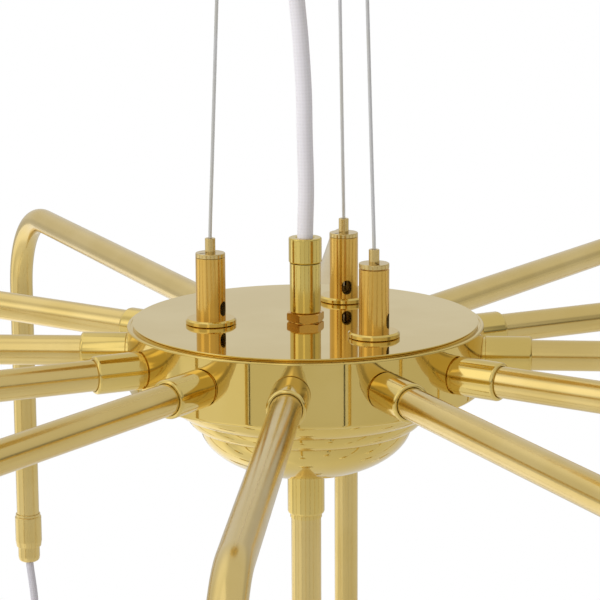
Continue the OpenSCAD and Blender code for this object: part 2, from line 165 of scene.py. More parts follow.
# ---------------------------------------------------------------- materials
def metal(name, colour, roughness, marks, wave, mark_scale=900):
    """Polished metal: faint tool marks along its grain, slow waves from polishing, and uneven gloss.

    The grain attribute holds each piece's own coordinates, drawn out along the tool marks.
    """
    mat, tree, shader = new_material(name)
    grain = node(tree, "Attribute", attribute_name="grain").outputs["Vector"]
    place = node(tree, "TexCoord").outputs["Object"]
    patches = noise(tree, place, 26, 3)
    deep = tuple(c * d for c, d in zip(colour, (0.95, 0.93, 0.84)))
    tree.links.new(tint(tree, ramp(tree, patches, 0.35, 0.65), deep, colour), shader.inputs["Base Color"])
    lines = noise(tree, grain, mark_scale, 3)
    smudge = noise(tree, place, 90, 4)
    gloss = maths(tree, "MULTIPLY_ADD", smudge, roughness * 0.7, roughness * 0.45)
    gloss = maths(tree, "MULTIPLY_ADD", lines, roughness * 0.4, gloss)
    tree.links.new(gloss, shader.inputs["Roughness"])
    low = node(tree, "Bump", {"Height": noise(tree, place, 45, 1), "Strength": 1.0, "Distance": wave * MM})
    fine = node(tree, "Bump", {"Height": lines, "Strength": 1.0, "Distance": marks * MM,
                               "Normal": low.outputs["Normal"]})
    tree.links.new(fine.outputs["Normal"], shader.inputs["Normal"])
    shader.inputs["Metallic"].default_value = 1
    return mat


def textile(name, light, dark, threads):
    """A plaited cover: threads crossing in two directions round the cord, and soft thread fuzz."""
    mat, tree, shader = new_material(name)
    grain = node(tree, "Attribute", attribute_name="grain").outputs["Vector"]
    parts = node(tree, "SeparateXYZ", {"Vector": grain})
    around, along = parts.outputs["X"], parts.outputs["Y"]
    up = maths(tree, "SINE", maths(tree, "MULTIPLY", maths(tree, "ADD", around, along), threads))
    down = maths(tree, "SINE", maths(tree, "MULTIPLY", maths(tree, "SUBTRACT", around, along), threads))
    weave = maths(tree, "MULTIPLY_ADD", maths(tree, "MULTIPLY", up, down), 0.5, 0.5)
    place = node(tree, "TexCoord").outputs["Object"]
    fuzz = noise(tree, place, 2600, 2)
    share = maths(tree, "MULTIPLY_ADD", fuzz, 0.45, maths(tree, "MULTIPLY", weave, 0.6))
    tree.links.new(tint(tree, share, dark, light), shader.inputs["Base Color"])
    height = maths(tree, "MULTIPLY_ADD", fuzz, 0.3, weave)
    bump = node(tree, "Bump", {"Height": height, "Strength": 0.5, "Distance": 0.06 * MM})
    tree.links.new(bump.outputs["Normal"], shader.inputs["Normal"])
    shader.inputs["Roughness"].default_value = 0.85
    shader.inputs["Sheen Weight"].default_value = 0.15
    shader.inputs["Sheen Roughness"].default_value = 0.5
    return mat


def moulded(name, colour, roughness):
    mat, tree, shader = new_material(name)
    place = node(tree, "TexCoord").outputs["Object"]
    dull = tuple(c * 0.94 for c in colour)
    tree.links.new(tint(tree, noise(tree, place, 60, 2), dull, colour), shader.inputs["Base Color"])
    tree.links.new(ramp(tree, noise(tree, place, 400, 2), 0, 1, roughness * 0.8, roughness * 1.2),
                   shader.inputs["Roughness"])
    bump = node(tree, "Bump", {"Height": noise(tree, place, 1500, 2), "Strength": 0.3, "Distance": 0.02 * MM})
    tree.links.new(bump.outputs["Normal"], shader.inputs["Normal"])
    return mat


def opal(name):
    """White opal glass: a glossy skin over a milky body."""
    mat = moulded(name, (0.88, 0.86, 0.82), 0.12)
    shader = mat.node_tree.nodes["Principled BSDF"]
    shader.inputs["Subsurface Weight"].default_value = 0.4
    shader.inputs["Subsurface Radius"].default_value = (0.012, 0.011, 0.01)
    shader.inputs["Coat Weight"].default_value = 0.6
    shader.inputs["Coat Roughness"].default_value = 0.03
    return mat


BRASS = metal("polished_brass", (0.76, 0.575, 0.19), 0.05, 0.0002, 0.004)
PLATE_BRASS = metal("mirror_brass", (0.79, 0.62, 0.24), 0.045, 0.0001, 0.002)
TUBE_BRASS = metal("tube_brass", (0.76, 0.58, 0.23), 0.19, 0.0008, 0.006)
COLLAR_BRASS = metal("collar_brass", (0.76, 0.575, 0.19), 0.10, 0.0004, 0.004)
WARM_BRASS = metal("warm_brass", (0.77, 0.49, 0.12), 0.16, 0.0012, 0.003)
FLANGE_BRASS = metal("flange_brass", (0.76, 0.56, 0.17), 0.10, 0.0015, 0.003)
CAP_BRASS = metal("cap_brass", (0.72, 0.55, 0.24), 0.12, 0.0015, 0.003)
# Dark, rough brass for bores and seams: its dark colour is painted shade in recesses that little light
# reaches.
SHADE_PAINTED_BORE_BRASS = metal("dull_bore_painted_shade", (0.42, 0.29, 0.10), 0.5, 0.004, 0.003)
GLAND_BRASS = metal("turned_brass", (0.76, 0.59, 0.18), 0.14, 0.0012, 0.003)
COPPER = metal("copper_toned_nut", (0.70, 0.43, 0.11), 0.22, 0.002, 0.003)
ZINC = metal("zinc_steel", (0.55, 0.56, 0.58), 0.3, 0.002, 0.004)
WIRE = metal("steel_wire", (0.74, 0.74, 0.75), 0.35, 0.001, 0.001)
WHITE_TEXTILE = textile("white_textile", (0.84, 0.82, 0.87), (0.74, 0.72, 0.76), 2200)
GREY_TEXTILE = textile("grey_textile", (0.66, 0.64, 0.68), (0.52, 0.50, 0.54), 2600)
PLASTIC = moulded("white_plastic", (0.80, 0.80, 0.76), 0.4)
OPAL = opal("opal_glass")


# ---------------------------------------------------------------- mesh helpers, all in mm until mesh_object
def rounded(corners, steps=4):
    """A profile with its corners rounded. A corner is (r, z) or (r, z, radius)."""
    out = []
    n = len(corners)
    for i, corner in enumerate(corners):
        here = Vector(corner[:2])
        radius = corner[2] if len(corner) > 2 else 0
        if not radius:
            out.append(here)
            continue
        before = Vector(corners[i - 1][:2]) - here
        after = Vector(corners[(i + 1) % n][:2]) - here
        half = before.angle(after) / 2
        back = min(radius / math.tan(half), before.length * 0.49, after.length * 0.49)
        a, b = here + before.normalized() * back, here + after.normalized() * back
        hold = min(0.35 * back, 0.12)
        out.append(a + before.normalized() * hold)
        for k in range(steps + 1):
            t = k / steps
            out.append((1 - t) ** 2 * a + 2 * t * (1 - t) * here + t * t * b)
        out.append(b + after.normalized() * hold)
    return out


def lathe(profile, sides=96, at=None):
    """A closed profile of (r, z) points turned about z. Gives (points, faces, grain)."""
    at = at or Matrix.Identity(4)
    points, faces, grain, rows = [], [], [], []
    for r, z in [p[:2] for p in profile]:
        count = 1 if r < 1e-6 else sides
        rows.append([len(points) + k % count for k in range(sides)])
        for k in range(count):
            x, y = r * math.cos(TAU * k / sides), r * math.sin(TAU * k / sides)
            points.append(at @ Vector((x, y, z)))
            grain.append(Vector((x / 30, y / 30, r + 1.37 * z)))
    for low, high in zip(rows, rows[1:] + rows[:1]):
        for k in range(sides):
            m = (k + 1) % sides
            corners = [low[k], low[m], high[m], high[k]]
            face = [c for j, c in enumerate(corners) if c not in corners[:j]]
            if len(face) > 2:
                faces.append(face)
    return points, faces, grain


def frames_along(route):
    """Each point of a route with two directions square to it, which turn as little as they can."""
    frames = []
    side = None
    for i, p in enumerate(route):
        way = (route[min(i + 1, len(route) - 1)] - route[max(i - 1, 0)]).normalized()
        side = way.orthogonal() if side is None else side - way * side.dot(way)
        side.normalize()
        frames.append((p, side.copy(), way.cross(side)))
    return frames


def swept(route, radius, sides, inner=None, stretch=30):
    """A bar along a route, or a pipe if inner is its bore's radius.

    radius is a number, or a function of the angle and of the run along the route.
    """
    runs = [0]
    for a, b in zip(route, route[1:]):
        runs.append(runs[-1] + (b - a).length)
    points, faces, grain = [], [], []

    def skin(size, flip):
        start = len(points)
        for (p, u, v), run in zip(frames_along(route), runs):
            for k in range(sides):
                a = TAU * k / sides
                r = size(a, run) if callable(size) else size
                points.append(p + r * (math.cos(a) * u + math.sin(a) * v))
                if stretch == 1:
                    grain.append(Vector((r * a, run, 0)))
                else:
                    grain.append(Vector((r * math.cos(a), r * math.sin(a), run / stretch)))
        for i in range(len(route) - 1):
            for k in range(sides):
                a, b = start + i * sides + k, start + i * sides + (k + 1) % sides
                face = [a, b, b + sides, a + sides]
                faces.append(face[::-1] if flip else face)
        return start, start + (len(route) - 1) * sides

    first, last = skin(radius, False)
    if inner:
        first_in, last_in = skin(inner, True)
        for k in range(sides):
            m = (k + 1) % sides
            faces.append([first + m, first + k, first_in + k, first_in + m])
            faces.append([last + k, last + m, last_in + m, last_in + k])
    else:
        faces.append([first + k for k in reversed(range(sides))])
        faces.append([last + k for k in range(sides)])
    return points, faces, grain


def prism(outline, z0, z1, at=None):
    """An upright prism over an outline of (x, y) points."""
    at = at or Matrix.Identity(4)
    n = len(outline)
    local = [Vector((x, y, z)) for z in (z0, z1) for x, y in outline]
    faces = [[k, (k + 1) % n, n + (k + 1) % n, n + k] for k in range(n)]
    faces += [[k for k in reversed(range(n))], [n + k for k in range(n)]]
    return [at @ p for p in local], faces, local


def ball(centre, radius, sides=16):
    half = [(radius * math.sin(math.pi * k / sides), -radius * math.cos(math.pi * k / sides))
            for k in range(sides + 1)]
    return lathe([(max(0, r), z) for r, z in half], sides, shift(*centre))


def shade(mesh, sharp):
    """Recalculates the face sides, and shades smooth except over edges sharper than the angle."""
    bm = bmesh.new()
    bm.from_mesh(mesh)
    bmesh.ops.recalc_face_normals(bm, faces=bm.faces)
    for face in bm.faces:
        face.smooth = True
    for edge in bm.edges:
        edge.smooth = len(edge.link_faces) != 2 or edge.calc_face_angle(0) <= math.radians(sharp)
    bm.to_mesh(mesh)
    bm.free()


def mesh_object(name, shapes, sharp=40):
    mesh = bpy.data.meshes.new(name)
    points, faces, grain = [], [], []
    for p, f, g in shapes:
        start = len(points)
        points += [q * MM for q in p]
        grain += [c * MM for q in g for c in q]
        faces += [[start + c for c in face] for face in f]
    mesh.from_pydata(points, [], faces)
    mesh.attributes.new("grain", "FLOAT_VECTOR", "POINT").data.foreach_set("vector", grain)
    shade(mesh, sharp)
    obj = bpy.data.objects.new(name, mesh)
    bpy.context.scene.collection.objects.link(obj)
    return obj


def carve(obj, tool, operation="DIFFERENCE", sharp=40):
    """Changes obj by tool for good, and removes tool."""
    change = obj.modifiers.new("carve", "BOOLEAN")
    change.operation, change.object, change.solver = operation, tool, "EXACT"
    shown = obj.evaluated_get(bpy.context.evaluated_depsgraph_get())
    mesh = bpy.data.meshes.new_from_object(shown)
    obj.modifiers.clear()
    obj.data = mesh
    bpy.data.objects.remove(tool)
    shade(mesh, sharp)


def finish_piece(obj, body, material, slot, *nodes):
    obj.data.materials.clear()
    obj.data.materials.append(material)
    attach(obj, body)
    if nodes:
        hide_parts(*nodes)
    return obj


def paint_shade_inside(obj, axis, radius, low, high):
    """Gives the faces near an upright axis, at (x, y), between two heights over the plate the dark rough
    metal, as painted shade inside the recess.
    """
    obj.data.materials.append(SHADE_PAINTED_BORE_BRASS)
    for face in obj.data.polygons:
        off = face.center / MM - Vector((*axis, HUB_Z))
        if math.hypot(off.x, off.y) < radius and low < off.z < high:
            face.material_index = 1


def shift(x=0, y=0, z=0):
    return Matrix.Translation((x, y, z))


def turned(degrees, axis="Z"):
    return Matrix.Rotation(math.radians(degrees), 4, axis)


HUB = shift(0, 0, HUB_Z)


def at_gripper(i):
    return HUB @ shift(*GRIPPERS[i])


def along_arm(i):
    """Local +z runs outwards along arm i from the hub's axis, and local +x down."""
    return HUB @ shift(0, 0, ARM_Z) @ Matrix.Rotation(ARM_TURNS[i], 4, "Z") @ turned(90, "Y")


def at_lamp(i):
    return shift(*LAMP_PLACES[i])


# ---------------------------------------------------------------- cords
def smooth_route(points, count):
    """count points at even spacing along a Catmull-Rom curve through points."""
    p = [Vector(q) for q in points]
    p = [2 * p[0] - p[1]] + p + [2 * p[-1] - p[-2]]
    fine = []
    for a, b, c, d in zip(p, p[1:], p[2:], p[3:]):
        for k in range(24):
            t = k / 24
            fine.append(0.5 * (2 * b + (c - a) * t + (2 * a - 5 * b + 4 * c - d) * t * t
                               + (3 * b - a - 3 * c + d) * t ** 3))
    fine.append(p[-2])
    runs = [0]
    for a, b in zip(fine, fine[1:]):
        runs.append(runs[-1] + (b - a).length)
    route, j = [], 0
    for k in range(count):
        at = runs[-1] * k / (count - 1)
        while j < len(runs) - 2 and runs[j + 1] < at:
            j += 1
        share = (at - runs[j]) / (runs[j + 1] - runs[j])
        route.append(fine[j].lerp(fine[j + 1], min(1, share)))
    return route, runs[-1]


def make_cord(name, points, step, radius, sides, material, slot, cad_node):
    """A cord's own mesh along a route, with a ring every step mm, given its material and put in place of its
    CAD node.
    """
    length = smooth_route(points, 200)[1]
    route = smooth_route(points, round(length / step))[0]
    cord = mesh_object(name, [swept(route, radius, sides, stretch=1)], 60)
    finish_piece(cord, "hub", material, slot, cad_node)


def twisted(radius, strands, lay):
    """The outline of a wire rope: round strands that go once round in lay mm."""
    def size(angle, run):
        turn = strands * (angle - TAU * run / lay) / 2
        return radius * (0.86 + 0.14 * abs(math.cos(turn)) ** 0.6)
    return size


def plaited(radius, threads, pitch, relief):
    """The outline of a plaited cover: thread bundles that cross each other round the cord."""
    def size(angle, run):
        one = math.cos(threads * angle + TAU * run / pitch)
        other = math.cos(threads * angle - TAU * run / pitch)
        return radius - relief * (1 - max(one, other)) / 2
    return size


def make_cords():
    for i, (x, y) in enumerate(GRIPPERS):
        bend = Vector((x, y, HUB_Z + 37.5))
        top = Vector((WIRE_TAPER * x, WIRE_TAPER * y, -32))
        route = [(x, y, HUB_Z + 6.5), (x, y, HUB_Z + 22)] + [tuple(bend.lerp(top, k / 5)) for k in range(6)]
        make_cord(f"steel_wire_{i + 1}", route, 0.7, twisted(WIRE_D / 2, 7, 9), 28,
                  WIRE, "steel_wire",
                  f"wire_{i + 1}")
    power = [(0, GLAND_Y, -12), (0, GLAND_Y, 12), (0, GLAND_Y, 36), (0.5, -3, 57), (0, -2.8, 80),
             (-0.3, -2.4, 98), (-1.6, -1.8, 120), (-3.2, -1.1, 138), (-3.8, -0.6, 152), (-1.8, -0.2, 168),
             (0, 0, 181), (0, 0, 206)]
    make_cord("power_cord_textile", [(x, y, HUB_Z + z) for x, y, z in power], 0.3,
              plaited(POWER_D / 2, 16, 2.4, 0.06), 64,
              WHITE_TEXTILE, "white_textile",
              "power_cord")
    bow = [(0, -13), (0, -28), (2.4, -53), (3, -85), (0, CABLE_END + 2), (0, CABLE_END - 8)]
    for i, ((x, y, z), turn) in enumerate(zip(LAMP_PLACES, CABLE_TURNS)):
        c, s = math.cos(math.radians(turn)), math.sin(math.radians(turn))
        make_cord(f"lamp_cable_{i + 1}", [(x + c * b, y + s * b, z + h) for b, h in bow], 0.6,
                  plaited(CABLE_D / 2, 10, 2.4, 0.07), 32,
                  GREY_TEXTILE,
                  "grey_textile", f"cable_{i + 1}")


# ---------------------------------------------------------------- hub
def make_plate():
    """A disc whose edge slants in below."""
    plate = rounded([(0, -PLATE_T), (PLATE_R - 0.3, -PLATE_T), (PLATE_R, 0, 0.2), (0, 0)])
    finish_piece(mesh_object("mirror_top_plate", [lathe(plate, 192, HUB)], 55), "hub", PLATE_BRASS,
                 "polished_brass", "top_plate")


def make_drum():
    """A wall with rounded edges and a fine groove round the plate."""
    lip, low_lip, wall, top = 62, 46, 1.5, -PLATE_T
    groove_in, groove_out, groove_bed = PLATE_R - 0.4, PLATE_R + 0.75, top - 0.35
    profile = rounded([(lip, top), (groove_in, top), (groove_in, groove_bed), (groove_out, groove_bed),
                       (groove_out, top, 0.25), (DRUM_R, top, 0.9), (DRUM_R, DRUM_BOTTOM, 1.4),
                       (low_lip, DRUM_BOTTOM),
                       (low_lip, DRUM_BOTTOM + wall), (DRUM_R - wall, DRUM_BOTTOM + wall),
                       (DRUM_R - wall, top - wall), (lip, top - wall)], 6)
    drum = mesh_object("drum_wall", [lathe(profile, 192, HUB)], 55)
    finish_piece(drum, "hub", BRASS, "polished_brass", "drum")


def quarter(high, low, degrees):
    """The point at an angle of the quarter round from a rim to a lower one."""
    a = math.radians(degrees)
    across, down = max(0, math.cos(a)) ** 1.08, math.sin(a) ** 1.08
    return (low[0] + (high[0] - low[0]) * across, high[1] - (high[1] - low[1]) * down)


def make_bowl():
    """Two rounded steps and a dome, pressed from one sheet."""
    bore, wall, flange = COLLAR_R + 0.05, 1.2, 2
    rims = [(60.8, DRUM_BOTTOM), (51.6, -39.3), (45.6, -45.6), (bore, BOWL_BOTTOM)]
    outline = [(bore, DRUM_BOTTOM - flange), (bore, DRUM_BOTTOM)]
    for high, low in zip(rims, rims[1:]):
        outline += [quarter(high, low, 3 * k) for k in range(31)]
    rims = [(r - wall, z) for r, z in rims]
    rims[0], rims[3] = (rims[0][0], DRUM_BOTTOM - flange), (bore, BOWL_BOTTOM)
    for high, low in reversed(list(zip(rims, rims[1:]))):
        outline += [quarter(high, (low[0], low[1] + wall), 6 * k) for k in range(15, -1, -1)]
    profile = [p for p, q in zip(outline, outline[1:] + outline[:1]) if p != q]
    bowl = mesh_object("stepped_bowl", [lathe(profile, 192, HUB)])
    finish_piece(bowl, "hub", BRASS, "polished_brass", "bowl")


# ---------------------------------------------------------------- tubes
def collar_profile(start, end, groove, neck_end=None):
    """A sleeve with a groove where it leaves the hub and a rounded end, which may have a short neck."""
    bore, bed, neck = TUBE_R + 0.05, COLLAR_R - 0.7, COLLAR_R - 1.1
    sleeve = rounded([(bore, start), (COLLAR_R, start), (COLLAR_R, groove), (bed, groove),
                      (bed, groove + 0.9), (COLLAR_R, groove + 0.9, 0.25), (COLLAR_R, end - 1.4)])
    sleeve += [(COLLAR_R - 1 + math.cos(a), end - 1.4 + 1.4 * math.sin(a))
               for a in [math.radians(15 * k) for k in range(1, 7)]]
    if neck_end:
        return sleeve + [(neck, end - 0.4), (neck, neck_end), (bore, neck_end)]
    return sleeve + [(bore + 0.12, end - 0.05), (bore, end - 0.5)]


def make_tubes():
    ends = [98.6 if 8 <= i <= 10 else 96.4 for i in range(12)]
    collars = [lathe(collar_profile(69.6, end, DRUM_R - 0.2), 72, along_arm(i)) for i, end in enumerate(ends)]
    collars.append(lathe(collar_profile(-40, 19.3, -0.5, 21), 72,
                         HUB @ shift(0, 0, BOWL_BOTTOM) @ turned(180, "X")))
    finish_piece(mesh_object("tube_collars_polished", collars), "hub", COLLAR_BRASS, "polished_brass",
                 "tube_collars")
    for i in range(12):
        flat = along_arm(i)
        out, drop = REACHES[i] - BEND_R, LEGS[i] + ARM_Z
        bend = [(out + BEND_R * math.sin(a), BEND_R * (1 - math.cos(a)))
                for a in [math.radians(90 * k / 36) for k in range(37)]]
        line = [(66, 0), (68, 0), (out - 2, 0)] + bend + [(REACHES[i], BEND_R + 2), (REACHES[i], drop)]
        route = [flat @ Vector((down, 0, along)) for along, down in line]
        arm = mesh_object(f"arm_tube_{i + 1}", [swept(route, TUBE_R, 64, TUBE_R - 1)])
        finish_piece(arm, "hub", TUBE_BRASS, "polished_brass", f"arm_{i + 1}")
    route = [Vector((0, 0, HUB_Z + z)) for z in (-30.6, -32, -CENTRE_LEG + 2, -CENTRE_LEG)]
    centre = mesh_object("centre_drop_tube", [swept(route, TUBE_R, 64, TUBE_R - 1)])
    finish_piece(centre, "hub", TUBE_BRASS, "polished_brass", "centre_tube")


# ---------------------------------------------------------------- wire grippers
def make_grippers():
    flange = rounded([(4.05, 0), (FLANGE_R - 0.4, 0), (FLANGE_R, 0.4, 0.15), (FLANGE_R, FLANGE_T - 0.7, 0.3),
                      (FLANGE_R - 0.7, FLANGE_T, 0.3), (4.05, FLANGE_T)])
    flanges = mesh_object("gripper_flange_discs", [lathe(flange, 96, at_gripper(i)) for i in range(3)], 55)
    finish_piece(flanges, "hub", FLANGE_BRASS, "warm_brass", "gripper_flanges")
    for i in range(3):
        make_gripper_body(i)
        make_plunger(i)
    make_gripper_caps()


def make_gripper_body(i):
    """A bored cylinder on a stud, with a slot in its side that the wire's end can leave by."""
    profile = rounded([(1.25, 4), (1.25, CHAMBER_LOW), (3.2, CHAMBER_LOW), (3.2, 21.9), (4.45, 21.9),
                       (4.45, GRIPPER_TOP), (GRIPPER_R, GRIPPER_TOP, 0.2), (GRIPPER_R, 10.5),
                       (GRIPPER_R, FLANGE_T), (4, FLANGE_T), (4, -9), (0, -9), (0, 4)])
    body = mesh_object(f"gripper_body_{i + 1}", [lathe(profile, 96, at_gripper(i))])
    outline = [(SLOT_HALF * math.cos(a), 1 + SLOT_HALF * math.sin(a))
               for a in [math.pi * k / 16 for k in range(17)]]
    outline += [(-x, -y) for x, y in outline]
    lie = at_gripper(i) @ turned(SLOT_TURNS[i]) @ shift(0, 0, SLOT_Z) @ turned(90, "Y") @ turned(90)
    carve(body, mesh_object("slot_tool", [prism(outline, 0.02, 12, lie)]))
    finish_piece(body, "hub", WARM_BRASS, "warm_brass")
    # The chamber seen through the slot gets the dark metal: painted shade inside the bore.
    paint_shade_inside(body, GRIPPERS[i], GRIPPER_R - 0.15, FLANGE_T + 0.1, GRIPPER_TOP - 0.1)
    if i == 0:
        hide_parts("gripper_bodies")


def make_gripper_caps():
    """Screwed down to a seam, the third a turn looser, each with a key notch beside its plunger."""
    gaps, tops, notches = [0.12, 0.12, 0.5], [30.5, 30.5, 31], [212, 223, -67]
    for i, (gap, top, notch) in enumerate(zip(gaps, tops, notches)):
        low = GRIPPER_TOP + gap
        profile = rounded([(2.25, 23), (2.25, top), (GRIPPER_R, top, 0.4), (GRIPPER_R, low, 0.12), (4.4, low),
                           (4.4, 22), (3.1, 22)])
        cap = mesh_object(f"gripper_cap_{i + 1}", [lathe(profile, 96, at_gripper(i))])
        outline = [(1.5, -0.35), (5.2, -0.35), (5.5, 0), (5.2, 0.35), (1.5, 0.35)]
        lie = at_gripper(i) @ turned(notch)
        carve(cap, mesh_object("notch_tool", [prism(outline, top - 0.6, top + 2, lie)]))
        finish_piece(cap, "hub", CAP_BRASS, "warm_brass")
        if i == 0:
            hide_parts("gripper_caps")


def make_plunger(i):
    """The plunger with the three balls that hold the wire, and the spring under it."""
    foot_top = PLUNGER_LOW + 1
    profile = rounded([(1.05, PLUNGER_LOW), (1.05, PLUNGER_TOP, 0.25), (2.2, PLUNGER_TOP, 0.25),
                       (2.2, foot_top), (2.8, foot_top, 0.15), (2.8, PLUNGER_LOW, 0.15)])
    balls = [ball((1.58 * math.cos(a), 1.58 * math.sin(a), 24), 0.78) for a in (0, TAU / 3, 2 * TAU / 3)]
    balls = [([at_gripper(i) @ p for p in points], faces, grain) for points, faces, grain in balls]
    plunger = mesh_object(f"plunger_tube_{i + 1}", [lathe(profile, 48, at_gripper(i))] + balls)
    finish_piece(plunger, f"plunger_{i + 1}_body", CAP_BRASS, "warm_brass", f"plunger_{i + 1}")
    coil_r, wire_r, turns, per_turn = 2.3, 0.3, 5, 32
    low, high = CHAMBER_LOW + wire_r + 0.02, PLUNGER_LOW - wire_r - 0.02
    steps = turns * per_turn
    route = []
    for k in range(steps + 1):
        a = TAU * k / per_turn
        height = low + (high - low) * k / steps
        route.append(at_gripper(i) @ Vector((coil_r * math.cos(a), coil_r * math.sin(a), height)))
    spring = mesh_object(f"gripper_spring_{i + 1}", [swept(route, wire_r, 10)])
    finish_piece(spring, "hub", ZINC, "zinc_steel", f"spring_{i + 1}")
    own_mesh(spring)


# ---------------------------------------------------------------- centre cord grip
def make_gland():
    """A nut turned round at its corners, a body, and a cap over a narrow gap whose faces are painted dark as
    shade.
    """
    place = HUB @ shift(0, GLAND_Y)
    corner_r = GLAND_NUT_AF / math.sqrt(3)
    hexagon = [(corner_r * math.cos(a), corner_r * math.sin(a))
               for a in [math.radians(12 + 60 * k) for k in range(6)]]
    nut = mesh_object("gland_hex_nut", [prism(hexagon, 0, GLAND_NUT_T, place)])
    cones = [(5.05, 0), (6.7, 0), (6.7, 0.3), (7.3, 0.3), (8.3, 0.9), (8.3, GLAND_NUT_T - 0.5),
             (7.4, GLAND_NUT_T), (5.05, GLAND_NUT_T)]
    carve(nut, mesh_object("nut_tool", [lathe(cones, 96, place)]), "INTERSECT", 25)
    finish_piece(nut, "hub", COPPER, "copper_toned_nut", "gland_nut")
    body_low, body_top, neck_top = GLAND_NUT_T + 0.05, GLAND_TOP - 0.05, GLAND_TOP + 7
    body = rounded([(3.5, -8), (5, -8), (5, body_low), (6.1, body_low), (GLAND_R, body_low + 0.55, 0.3),
                    (GLAND_R, body_top, 0.15), (5.6, body_top), (5.6, neck_top), (3.5, neck_top)])
    body = mesh_object("gland_body_turned", [lathe(body, 96, place)])
    finish_piece(body, "hub", GLAND_BRASS, "polished_brass", "gland_body")
    # The neck in the gap under the cap gets the dark metal: painted shade in the seam.
    paint_shade_inside(body, (0, GLAND_Y), GLAND_R - 0.3, GLAND_TOP - 0.3, GLAND_CAP_TOP)
    cap_low, roof = GLAND_TOP + 0.35, neck_top + 0.05
    cap = rounded([(3.5, roof), (3.5, GLAND_CAP_TOP - 0.9), (4.1, GLAND_CAP_TOP, 0.2),
                   (GLAND_CAP_R, GLAND_CAP_TOP, 0.6), (GLAND_CAP_R, cap_low + 0.35, 0.3),
                   (GLAND_CAP_R - 0.2, cap_low), (5.65, cap_low), (5.65, roof)])
    cap = mesh_object("gland_cap_turned", [lathe(cap, 96, place)])
    finish_piece(cap, "hub", GLAND_BRASS, "polished_brass", "gland_cap")


# ---------------------------------------------------------------- cable grips and lamps
def make_lamps():
    bore = CABLE_D / 2 + 0.1
    grip = rounded([(TUBE_R + 0.05, 1), (7.2, 1, 0.4), (7.2, 0.1), (6.95, 0), (6.95, -0.5), (7.7, -0.9, 0.4),
                    (7.7, -15.5, 2), (7.2, -19, 0.4), (bore, -19), (bore, -13), (TUBE_R - 1, -13),
                    (TUBE_R - 1, -10), (TUBE_R + 0.05, -10)])
    cap = rounded([(bore, -19), (6.3, -19), (6.3, -25.2, 1.5), (5.9, -27.4, 1.6), (4.4, -28.3, 0.6),
                   (bore, -28.3, 0.2)], 6)
    holder = rounded([(bore, CABLE_END), (7, CABLE_END, 0.7), (7, CABLE_END - 9.6, 1.2),
                      (17, CABLE_END - 14, 3), (17, CABLE_END - 30, 0.3), (16.6, CABLE_END - 30.4),
                      (16.6, CABLE_END - 31.2), (17, CABLE_END - 31.6, 0.3), (17, CABLE_END - 46, 0.4),
                      (16, CABLE_END - 46, 0.3), (16, CABLE_END - 16), (0, CABLE_END - 14),
                      (0, CABLE_END - 8), (bore, CABLE_END - 8)], 6)
    lamps = range(len(LAMP_PLACES))
    finish_piece(mesh_object("cable_grip_sleeves", [lathe(grip, 72, at_lamp(i)) for i in lamps]), "hub",
                 TUBE_BRASS, "polished_brass", "cable_grips")
    finish_piece(mesh_object("cable_grip_caps", [lathe(cap, 72, at_lamp(i)) for i in lamps]), "hub",
                 TUBE_BRASS, "polished_brass", "grip_caps")
    finish_piece(mesh_object("lampholder_cups", [lathe(holder, 72, at_lamp(i)) for i in lamps]), "hub",
                 BRASS, "polished_brass", "lampholders")
    centre, radius = CABLE_END - 82, 30
    globe = [(radius * math.sin(a), centre + radius * math.cos(a))
             for a in [math.radians(180 - 5 * k) for k in range(0, 30)]]
    neck = rounded([(radius * math.sin(math.radians(30)), centre + radius * math.cos(math.radians(30)), 1),
                    (13, CABLE_END - 47, 0.8), (13, CABLE_END - 24, 0.6), (0, CABLE_END - 24)])
    globe[0] = (0, centre - radius)
    finish_piece(mesh_object("globe_lamps", [lathe(globe + neck, 72, at_lamp(i)) for i in lamps], 60), "hub",
                 OPAL, "opal_glass", "bulbs")


# ---------------------------------------------------------------- canopy
def make_canopy():
    wall, floor = 1.2, -CANOPY_H
    profile = rounded([(0, floor), (CANOPY_R, floor, 3), (CANOPY_R, -0.3, 0.3), (CANOPY_R - wall, -0.3),
                       (CANOPY_R - wall, floor + wall, 1.8), (0, floor + wall)], 8)
    cup = mesh_object("canopy_dish", [lathe(profile, 160)])
    finish_piece(cup, "hub", BRASS, "polished_brass", "canopy_cup")


def dress_cad_nodes():
    """The CAD pieces that stay get their materials."""
    looks = {"canopy_bracket": ZINC, "canopy_fixings": BRASS, "canopy_gland": BRASS,
             "terminal_blocks": PLASTIC, "tie_rods": ZINC, "lock_nuts": ZINC, "lamp_sockets": PLASTIC}
    for name, material in looks.items():
        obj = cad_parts[name]
        obj.data.materials.clear()
        obj.data.materials.append(material)


# ---------------------------------------------------------------- stage
# Soft lights and dim walls round the hub: azimuth, elevation, half width, half height and softness in
# degrees, and brightness, where white paper is 1. Azimuth 0 is +X and -90 is towards the camera. A later row
# covers an earlier one, and ROOM is the brightness between them.
ROOM = 0.70
SOFTBOXES = [
    (90, -12, 75, 10, 8, 0.60),
    (90, 14, 60, 12, 10, 0.72),
    (135, 45, 30, 16, 24, 1.0),
    (180, 74, 60, 14, 12, 1.05),
    (-160, 34, 14, 22, 14, 1.35),
    (-101, 20, 5, 9, 6, 1.25),
    (-107, 46, 6, 20, 8, 1.25),
    (50, 9, 30, 9, 10, 0.52),
    (0, 28, 10, 10, 14, 0.42),
    (-22, 16, 8, 14, 10, 0.32),
    (-105, 4, 44, 5.5, 7, 0.42),
    (-20, 5, 40, 6, 7, 0.26),
    (-20, 4.5, 34, 2.2, 4, 0.12),
    (90, 14, 12, 10, 6, 0.71),
]
# Azimuths of the two light stands
STANDS = [-125.2, -66]
FLOOR_Z = -1.6


